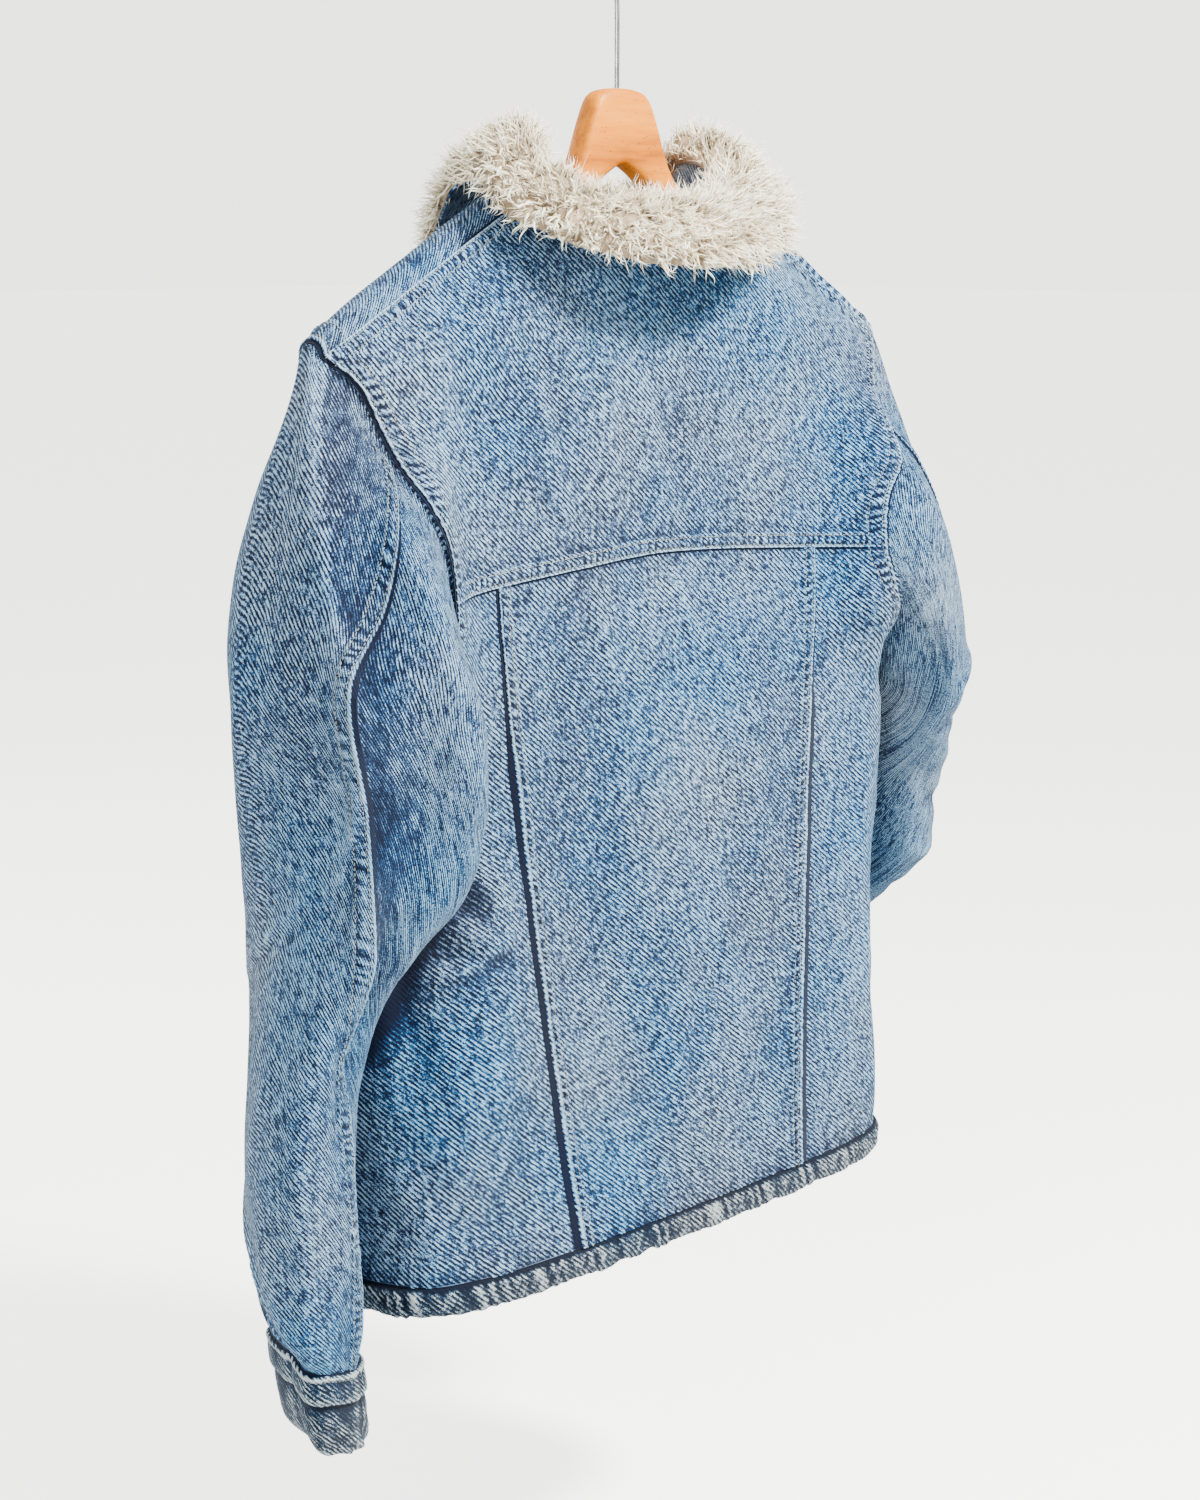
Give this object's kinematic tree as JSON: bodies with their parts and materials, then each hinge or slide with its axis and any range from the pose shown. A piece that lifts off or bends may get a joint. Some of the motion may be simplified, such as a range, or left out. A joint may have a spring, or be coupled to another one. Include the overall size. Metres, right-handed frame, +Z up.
{
  "type": "denim jacket on a wooden hanger",
  "caption": "Washed denim jacket with a curly fleece collar, hanging closed from the steel hook of a wooden hanger.",
  "frame": {"origin": "inside top of the hanger's hook, where a rail carries it", "axes": "+Z up, +X the wearer's left, -Y the wearer's front"},
  "size_m": [0.7076, 0.3749, 0.9946],
  "materials": {
    "denim": "washed blue twill",
    "fleece": "off-white curly fleece",
    "wood": "clear satin varnish",
    "hook_steel": "polished wire",
    "button_metal": "plain unmarked shank buttons"
  },
  "bodies": {
    "root": {"back_centre": "denim", "back_side_left": "denim", "back_side_right": "denim", "back_yoke": "denim", "button_1": "button_metal", "button_2": "button_metal", "button_3": "button_metal", "button_4": "button_metal", "button_5": "button_metal", "button_6": "button_metal", "button_band": "denim", "collar_fleece": "fleece", "cuff_left": "denim", "cuff_right": "denim", "front_left": "denim", "front_right": "denim", "hanger_body": "wood", "hanger_hook": "hook_steel", "hem_back": "denim", "hem_front_left": "denim", "hem_front_right": "denim", "sleeve_under_left": "denim", "sleeve_under_right": "denim", "sleeve_upper_left": "denim", "sleeve_upper_right": "denim", "under_collar": "denim"}
  },
  "joints": []
}
